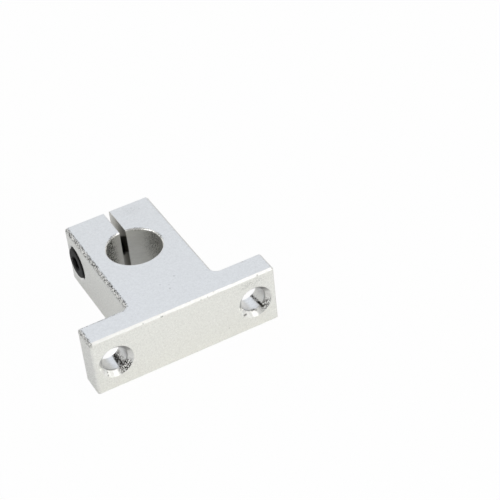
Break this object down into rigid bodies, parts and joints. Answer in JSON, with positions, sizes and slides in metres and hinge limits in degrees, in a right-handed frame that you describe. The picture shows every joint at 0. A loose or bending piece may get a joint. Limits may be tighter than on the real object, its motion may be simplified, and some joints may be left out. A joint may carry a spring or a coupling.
{
  "type": "shaft support block",
  "caption": "T-shaped aluminium support block that holds a shaft in a split bore, closed by a socket head clamp screw, with countersunk holes in its base.",
  "frame": {"origin": "on the shaft bore's axis, in the lower broad face that the block lies on", "axes": "+Z along the shaft's axis, up from the surface that the block lies on; +Y away from the mounting face, towards the split head end; +X along the base, from the clamp screw's head side to its threaded side"},
  "size_m": [0.042, 0.0375, 0.014],
  "materials": {
    "block_aluminium": "satin",
    "screw_steel": "satin"
  },
  "bodies": {
    "block": {"support_block": "block_aluminium"},
    "screw": {"clamp_screw": "screw_steel"}
  },
  "joints": [
    {"name": "clamp_screw_turn", "type": "hinge", "parent": "block", "child": "screw", "pos_m": [-0.01025, 0.01025, 0.007], "axis": [-1, 0, 0], "range_deg": [0, 450]}
  ]
}
